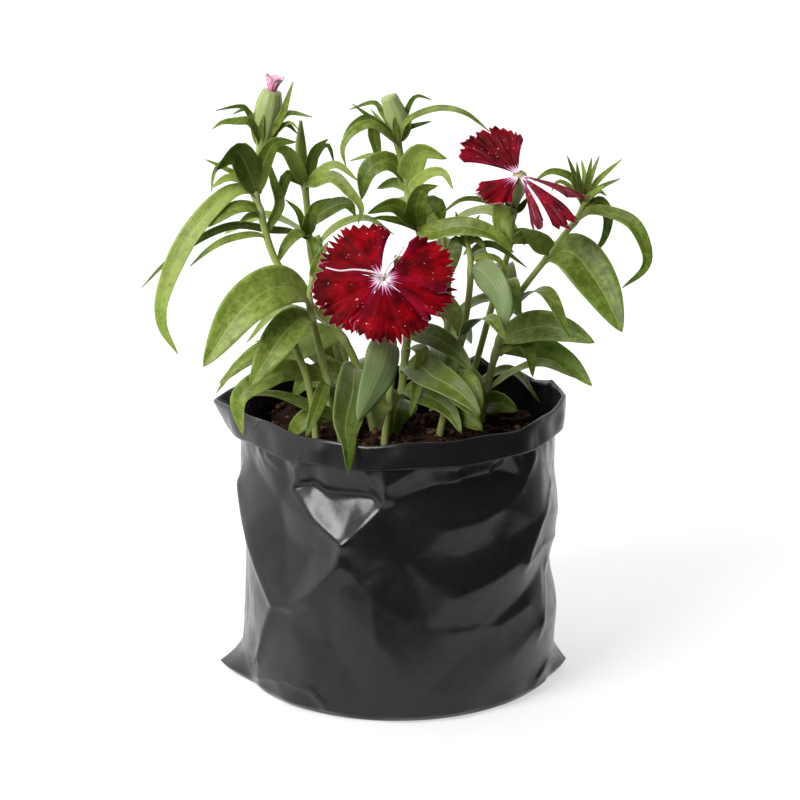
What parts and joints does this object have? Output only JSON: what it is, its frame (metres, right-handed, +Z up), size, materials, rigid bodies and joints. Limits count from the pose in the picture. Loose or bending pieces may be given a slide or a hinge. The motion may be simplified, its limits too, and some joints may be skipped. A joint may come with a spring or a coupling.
{
  "type": "potted dianthus plant",
  "caption": "Flowering bedding dianthus with leafy stems, crimson fringed blooms and buds, growing in compost in a soft black film bag.",
  "frame": {"origin": "centre of the bag's base, on the surface that it stands on", "axes": "+Z up, -Y towards the picture's camera, +X to the right in the picture"},
  "size_m": [0.1684, 0.1225, 0.2066],
  "materials": {
    "film": "satin",
    "compost": "matte",
    "foliage": "satin",
    "crimson_petal": "matte",
    "white_style": "matte",
    "pink_petal": "matte"
  },
  "bodies": {
    "root": {"bag": "film", "soil": "compost", "left_bud_stem": "foliage", "spear_stem": "foliage", "middle_bud_stem": "foliage", "right_bud_stem": "foliage", "side_bloom_stem": "foliage", "front_bloom_stem": "foliage", "low_left_stem": "foliage", "low_right_stem": "foliage", "back_left_stem": "foliage", "back_right_stem": "foliage", "cut_stem": "foliage", "front_bloom_petals": "crimson_petal", "side_bloom_petals": "crimson_petal", "front_bloom_styles": "white_style", "left_bud_petals": "pink_petal"}
  },
  "joints": []
}
